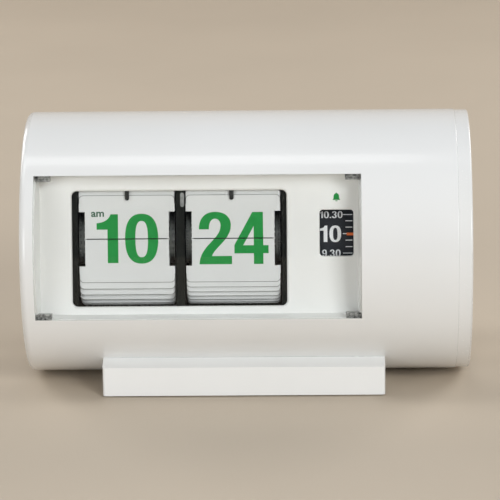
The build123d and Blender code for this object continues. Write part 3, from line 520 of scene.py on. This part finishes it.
for drum in ("hour", "minute"):
    look = leafPrints[drum]
    lift = leafPrints["lift"]
    hingeHeight = headPoint(joints[drum + "_flap_fall"]["pos_m"]).z
    faces = {
        "flapFront": (drum + "_flap", -1, look["now"], True, drum + "_flap"),
        "flapBack": (drum + "_flap", 1, look["next"], False, drum + "_flap"),
        "leafBehind": (drum + "_leaves_standing", -1, look["next"], True, "clock"),
        "leafBelow": (drum + "_leaves_fallen", -1, look["now"], False, "clock"),
    }
    for spot, (node, side, text, upper, body) in faces.items():
        sheet = halfNumber(drum, text, upper)
        layOnFace(sheet, leafFace(node, side), splitHeight, lift, hingeHeight if side > 0 else None)
        finishPiece(drum + "Figure." + spot, sheet, greenInk, body)
print("figures printed on the leaves")

# painted shadow lines along the leaves' free edges, standing in for the shade in the gaps between a leaf and
# the one behind: the flaps, and the packs where they step down behind each other
leafStack = {"hour": {"step": 15.0, "shown": 6}, "minute": {"step": 12.0, "shown": 7}, "firstTurn": 1.5,
             "shownGap": 0.25, "packGap": 0.24, "hang": 1.0, "hangUpTo": 75.0, "half": 0.075, "lift": 0.02,
             "edge": 0.16, "corner": 1.7, "rise": 1.6, "cornerSteps": 8}


def edgeStrip(left, right, reach):
    # thin U of painted shadow along a leaf's free end, u across and v out from the hinge
    corner, rise, edge = leafStack["corner"], leafStack["rise"], leafStack["edge"]
    steps = leafStack["cornerSteps"]
    turns = [math.radians(90) * i / steps for i in range(steps + 1)]
    rows = []
    for inset in (0.0, edge):
        r = corner - inset
        row = [(left + inset, reach - corner - rise)]
        row += [(left + corner - r * math.cos(t), reach - corner + r * math.sin(t)) for t in turns]
        row += [(right - corner + r * math.sin(t), reach - corner + r * math.cos(t)) for t in turns]
        rows.append(row + [(right - inset, reach - corner - rise)])
    sheet = bmesh.new()
    outer, inner = [[sheet.verts.new((u, v, 0)) for u, v in row] for row in rows]
    for i in range(len(outer) - 1):
        sheet.faces.new((outer[i], outer[i + 1], inner[i + 1], inner[i]))
    return sheet


def hangStrip(sheet, hinge, along, out):
    away = leafStack["half"] + leafStack["lift"]
    for vertex in sheet.verts:
        spot = hinge + along * vertex.co.y + out * away
        vertex.co = (vertex.co.x, spot.y, spot.z)


def leafEdges(drum):
    axis = headPoint(joints[drum + "_drum_turn"]["pos_m"])
    hinge = headPoint(joints[drum + "_flap_fall"]["pos_m"])
    low, high = headBox(drum + "_flap")
    reach = high.z - hinge.z
    up, front = Vector((0, 0, 1)), Vector((0, -1, 0))
    for spot, out in (("flapEdgeShadow", front), ("flapBackEdgeShadow", -front)):
        strip = edgeStrip(low.x, high.x, reach)
        hangStrip(strip, hinge, up, out)
        finishPiece(drum + "Leaf." + spot, strip, paintedEdgeShadow, drum + "_flap")
    shownRadius = Vector((hinge.y - axis.y, hinge.z - axis.z)).length - leafStack["shownGap"]
    step, first = leafStack[drum]["step"], leafStack["firstTurn"]
    packRadius = (shownRadius - leafStack["packGap"]) / math.cos(math.radians(first + step))
    for k in range(leafStack[drum]["shown"]):
        turn = math.radians(first + k * step)
        lean = math.radians(leafStack["hang"] * min(1, (first + k * step) / leafStack["hangUpTo"]))
        radius = packRadius if k else shownRadius
        pivot = Vector((0, axis.y - radius * math.cos(turn), axis.z - radius * math.sin(turn)))
        strip = edgeStrip(low.x, high.x, reach)
        hangStrip(strip, pivot, Vector((0, math.sin(lean), -math.cos(lean))),
                  Vector((0, -math.cos(lean), -math.sin(lean))))
        finishPiece(drum + "Leaf.edgeShadow" + str(k), strip, paintedEdgeShadow, "clock")
    strip = edgeStrip(low.x, high.x, reach)
    turn = math.radians(first)
    pivot = Vector((0, axis.y - shownRadius * math.cos(turn), axis.z + shownRadius * math.sin(turn)))
    hangStrip(strip, pivot, up, front)
    finishPiece(drum + "Leaf.standingEdgeShadow", strip, paintedEdgeShadow, "clock")


for drum in ("hour", "minute"):
    leafEdges(drum)
print("leaf edges drawn")

# small morning mark beside the hour, on the flap and on the leaf behind it
morningMark = {"text": "am", "size": 3.85, "widen": 1.1, "left": -59.05, "base": 8.55, "bolder": 0.09,
               "lift": 0.02, "leaves": {"flapFront": ("hour_flap", "hour_flap"),
                                        "leafBehind": ("hour_leaves_standing", "clock")}}


def fontPrint(name, look):
    words = bpy.data.curves.new(name, "FONT")
    words.body = look["text"]
    words.size = look["size"]
    words.resolution_u = smooth["letters"]
    words.offset = look["bolder"]
    holder = bpy.data.objects.new(name, words)
    scene.collection.objects.link(holder)
    bpy.context.view_layer.update()
    mesh = bpy.data.meshes.new_from_object(holder.evaluated_get(bpy.context.evaluated_depsgraph_get()))
    bpy.data.objects.remove(holder)
    sheet = bmesh.new()
    sheet.from_mesh(mesh)
    bpy.data.meshes.remove(mesh)
    bmesh.ops.scale(sheet, verts=sheet.verts, vec=(look["widen"], 1, 1))
    bmesh.ops.translate(sheet, verts=sheet.verts, vec=(look["left"], look["base"], 0))
    return sheet


for spot, (node, body) in morningMark["leaves"].items():
    mark = fontPrint("morningMark", morningMark)
    layOnFace(mark, leafFace(node, -1), splitHeight, morningMark["lift"])
    finishPiece("morningMark." + spot, mark, darkGreenInk, body)
print("morning mark printed")

# alarm scale: twelve hours round the drum, a long line each half hour and short ones each ten minutes;
# the turns are in degrees
alarmScale = {"shown": 10.0, "lift": 0.03, "step": 0.7, "hourTurn": 30, "tenMinuteTurn": 5,
              "hour": {"size": 6.2, "gap": 0.75, "widen": 1.05, "middle": 31.8},
              "half": {"size": 2.75, "gap": 0.32, "widen": 1.03, "middle": 32.1},
              "lineRight": 40.1, "longLine": 3.6, "shortLine": 2.6, "lineWidth": 0.33}
drumRadius = headBox("alarm_drum")[1].z
pointerLow, pointerHigh = headBox("alarm_pointer")
pointerAngle = math.asin((pointerLow.z + pointerHigh.z) / 2 / drumRadius)


def scaleAngle(hours):
    return pointerAngle + math.radians(alarmScale["hourTurn"]) * (hours - alarmScale["shown"])


def rectangle(x0, x1, y0, y1):
    return [(x0, y0), (x1, y0), (x1, y1), (x0, y1)]


def scalePrint(name, loops, hours):
    sheet = flatPrint(name, loops)
    levelCuts(sheet, alarmScale["step"])
    wrapOnTube(sheet, drumRadius + alarmScale["lift"], scaleAngle(hours))
    finishPiece(name, sheet, whiteInk, "alarm_setter")


for halfHour in range(24):
    hours = 1 + halfHour / 2
    onHour = halfHour % 2 == 0
    text = str(int(hours)) if onHour else str(int(hours)) + ".30"
    look = alarmScale["hour" if onHour else "half"]
    size, gap, widen = look["size"], look["gap"], look["widen"]
    left = look["middle"] - widen * numberWidth(text, size, gap) / 2
    loops = number(text, size, left, -size / 2, gap, widen)
    half = alarmScale["lineWidth"] / 2
    right = alarmScale["lineRight"]
    loops.append((rectangle(right - alarmScale["longLine"], right, -half, half), 1, 0, 0))
    for tenMinutes in (1, 2):
        middle = tenMinutes * math.radians(alarmScale["tenMinuteTurn"]) * drumRadius
        line = rectangle(right - alarmScale["shortLine"], right, middle - half, middle + half)
        loops.append((line, 1, 0, 0))
    scalePrint("alarmScale." + text.replace(".", "_"), loops, hours)
print("alarm scale printed")

# small bell above the alarm opening
bellMark = {"middle": 34.1, "base": 16.3, "height": 3.3, "lift": 0.02}
bellOutline = [(4, 16), (96, 16), ((84, 28), (82, 36), (82, 56)), ((82, 76), (70, 88), (57, 91)),
               ((57, 103), (43, 103), (43, 91)), ((30, 88), (18, 76), (18, 56)),
               ((18, 36), (16, 28), (4, 16))]
clapper = [(36, 10), ((38, -3), (62, -3), (64, 10))]
scaleBell = bellMark["height"] / figureTall
spotX = bellMark["middle"] - figureTall / 2 * scaleBell
bell = flatPrint("alarmBell", [(bellOutline, scaleBell, spotX, 0), (clapper, scaleBell, spotX, 0)])
faceFront = (Vector((0, widestPlane("face_tray"), 0)), Vector((0, -1, 0)))
layOnFace(bell, faceFront, bellMark["base"], bellMark["lift"])
finishPiece("alarmBell", bell, greenInk, "clock")
print("bell printed over the alarm opening")

# camera at the photograph's place, in mm and degrees, with its nearest sight in metres
photoCamera = {"place": (28.9, -1213.8, 351.3), "yaw": -1.34, "pitch": -14.04, "roll": -0.74,
               "lens": 231.5, "sensor": 36.0, "nearest": 0.01}


def addCamera():
    yaw, pitch, roll = [math.radians(photoCamera[name]) for name in ("yaw", "pitch", "roll")]
    forward = Vector((math.sin(yaw) * math.cos(pitch), math.cos(yaw) * math.cos(pitch), math.sin(pitch)))
    right = Vector((math.cos(yaw), -math.sin(yaw), 0))
    up = right.cross(forward)
    rolledRight = math.cos(roll) * right + math.sin(roll) * up
    rolledUp = math.cos(roll) * up - math.sin(roll) * right
    data = bpy.data.cameras.new("photoCamera")
    data.sensor_width = photoCamera["sensor"]
    data.lens = photoCamera["lens"]
    data.clip_start = photoCamera["nearest"]
    camera = bpy.data.objects.new("photoCamera", data)
    turn = Matrix((rolledRight, rolledUp, -forward)).transposed().to_4x4()
    camera.matrix_world = Matrix.Translation(Vector(photoCamera["place"]) * mm) @ turn
    scene.collection.objects.link(camera)
    scene.camera = camera


# studio in metres: pale floor that curves up behind, a key from the front right and a fill from the
# front left, pairs of lamps above and behind, and a strip overhead for the long highlight
studio = {"floorSize": 2.4, "flatShare": 0.4, "sweep": 0.5, "sweepSteps": 12, "wallHeight": 1.6,
          "floorColour": (0.56, 0.475, 0.375), "floorShade": (0.53, 0.45, 0.355), "cloud": 6.0,
          "grain": 1400.0, "rough": (0.6, 0.75), "depth": 2e-5,
          "world": (0.9, 0.92, 1.0), "worldLight": 0.16}
lamps = {
    "keyRight": {"place": (0.92, -1.68, 0.85), "aim": (0, 0, 0.05), "size": (0.7, 0.8), "power": 22.5,
                 "colour": (0.96, 0.985, 1.0)},
    "fillLeft": {"place": (-1.0, -1.7, 0.35), "aim": (0, 0, 0.05), "size": (0.9, 0.9), "power": 11.5,
                 "colour": (0.96, 0.985, 1.0)},
    "overLeft": {"place": (-0.95, 0.0, 1.2), "aim": (0, 0, 0.05), "size": (0.7, 0.9), "power": 4.6,
                 "colour": (0.97, 0.99, 1.0)},
    "overRight": {"place": (0.95, 0.0, 1.2), "aim": (0, 0, 0.05), "size": (0.7, 0.9), "power": 4.6,
                  "colour": (0.97, 0.99, 1.0)},
    "backLeft": {"place": (-0.9, 0.8, 0.6), "aim": (0, 0, 0.05), "size": (0.6, 0.6), "power": 5.0,
                 "colour": (1.0, 0.99, 0.97)},
    "backRight": {"place": (0.9, 0.8, 0.6), "aim": (0, 0, 0.05), "size": (0.6, 0.6), "power": 5.0,
                  "colour": (1.0, 0.99, 0.97)},
    "stripOverhead": {"place": (-0.28, -0.05, 1.05), "aim": (-0.28, 0.0, 0.05), "size": (0.75, 0.17),
                      "power": 1.0, "colour": (1.0, 1.0, 1.0)},
}


def addStudio():
    size, sweep, height = studio["floorSize"], studio["sweep"], studio["wallHeight"]
    flat, steps = size * studio["flatShare"], studio["sweepSteps"]
    profile = [(-size, 0), (flat, 0)]
    for i in range(1, steps + 1):
        angle = math.radians(90) * i / steps
        profile.append((flat + sweep * math.sin(angle), sweep * (1 - math.cos(angle))))
    profile.append((flat + sweep, height))
    sheet = bmesh.new()
    rows = [[sheet.verts.new((x, y, z)) for y, z in profile] for x in (-size, size)]
    for i in range(len(profile) - 1):
        face = sheet.faces.new((rows[0][i], rows[1][i], rows[1][i + 1], rows[0][i + 1]))
        face.smooth = True
    mesh = bpy.data.meshes.new("paleFloor")
    sheet.to_mesh(mesh)
    sheet.free()
    material, nodes, links, shader, place = newMaterial("paleFloorPaper")
    cloud = spread(nodes, links, noise(nodes, links, place, studio["cloud"]), 0, 1)
    links.new(blendColours(nodes, links, cloud, studio["floorColour"], studio["floorShade"]),
              shader.inputs["Base Color"])
    grain = noise(nodes, links, place, studio["grain"])
    links.new(spread(nodes, links, grain, *studio["rough"]), shader.inputs["Roughness"])
    bump(nodes, links, grain, studio["depth"], shader)
    mesh.materials.append(material)
    floor = bpy.data.objects.new("paleFloor", mesh)
    scene.collection.objects.link(floor)
    world = bpy.data.worlds.new("softRoom")
    world.use_nodes = True
    world.node_tree.nodes["Background"].inputs["Color"].default_value = (*studio["world"], 1)
    world.node_tree.nodes["Background"].inputs["Strength"].default_value = studio["worldLight"]
    scene.world = world
    for name, lamp in lamps.items():
        data = bpy.data.lights.new(name, "AREA")
        data.shape = "RECTANGLE"
        data.size, data.size_y = lamp["size"]
        data.energy = lamp["power"]
        data.color = lamp["colour"]
        light = bpy.data.objects.new(name, data)
        light.location = lamp["place"]
        toward = Vector(lamp["aim"]) - Vector(lamp["place"])
        light.rotation_euler = toward.to_track_quat("-Z", "Y").to_euler()
        scene.collection.objects.link(light)


addCamera()
addStudio()
scene.view_settings.view_transform = "Standard"
print("camera and lights set")
